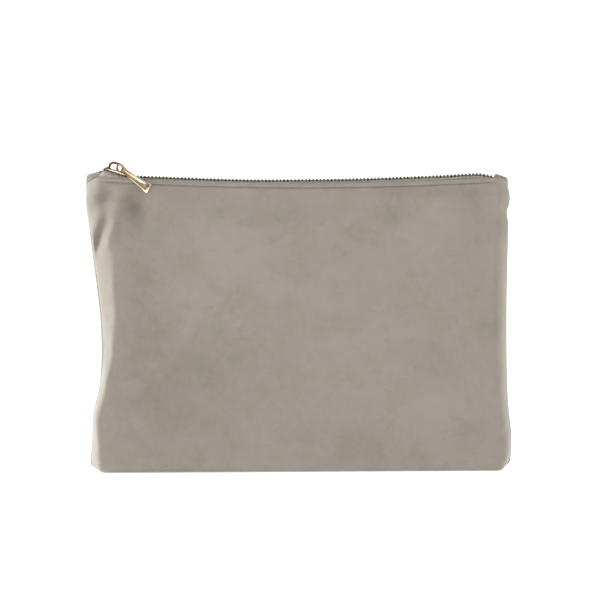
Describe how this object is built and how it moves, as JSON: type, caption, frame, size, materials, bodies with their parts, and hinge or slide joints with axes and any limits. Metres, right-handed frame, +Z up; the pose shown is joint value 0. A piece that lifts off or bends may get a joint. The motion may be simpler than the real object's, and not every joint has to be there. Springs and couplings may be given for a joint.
{
  "type": "zippered pouch",
  "caption": "Flat velvet pouch with a lining, closed along its top edge by a metal zipper whose pull hangs over the front.",
  "frame": {"origin": "middle of the underside, on the surface that the pouch stands on", "axes": "+X along the zipper towards its open end stop, -Y the front with the pull, +Z up through the zipper"},
  "size_m": [0.292, 0.0421, 0.2124],
  "materials": {
    "velvet": "short-pile velvet, warm grey",
    "lining": "smooth twill",
    "zipper_tape": "woven polyester tape",
    "thread": "twisted thread",
    "tooth_brass": "antique",
    "slider_gold": "light gold plate"
  },
  "bodies": {
    "root": {"left_end_tab": "velvet", "right_end_tab": "velvet", "left_side_seam": "velvet", "right_side_seam": "velvet", "bottom_seam": "velvet", "lining_seam": "lining", "front_top_stop": "tooth_brass", "back_top_stop": "tooth_brass", "bottom_stop": "tooth_brass"},
    "front_wall": {"front_panel": "velvet", "front_lining": "lining", "front_tape": "zipper_tape", "front_teeth": "tooth_brass", "front_topstitch": "thread"},
    "back_wall": {"back_panel": "velvet", "back_lining": "lining", "back_tape": "zipper_tape", "back_teeth": "tooth_brass", "back_topstitch": "thread"},
    "slider": {"slider_body": "slider_gold", "slider_bail": "slider_gold"},
    "pull": {"pull_tab": "slider_gold"}
  },
  "joints": [
    {"name": "slider_slide", "type": "slide", "parent": "root", "child": "slider", "axis": [1, 0, -0.0052], "range_m": [0, 0.2515]},
    {"name": "front_open", "type": "hinge", "parent": "root", "child": "front_wall", "pos_m": [0, -0.014, 0.001], "axis": [1, 0, 0], "range_deg": [0, 7], "deforming": ["front_panel", "front_lining", "front_tape", "front_teeth", "front_topstitch"]},
    {"name": "back_open", "type": "hinge", "parent": "root", "child": "back_wall", "pos_m": [0, 0.014, 0.001], "axis": [-1, 0, 0], "range_deg": [0, 7], "deforming": ["back_panel", "back_lining", "back_tape", "back_teeth", "back_topstitch"]},
    {"name": "pull_swing", "type": "hinge", "parent": "slider", "child": "pull", "pos_m": [-0.1217, 0, 0.20835], "axis": [0, -1, 0], "range_deg": [0, 150]}
  ],
  "couplings": [
    {"joint": "front_open", "follows": "slider_slide", "rad_per_m": 0.48577},
    {"joint": "back_open", "follows": "slider_slide", "rad_per_m": 0.48577}
  ]
}
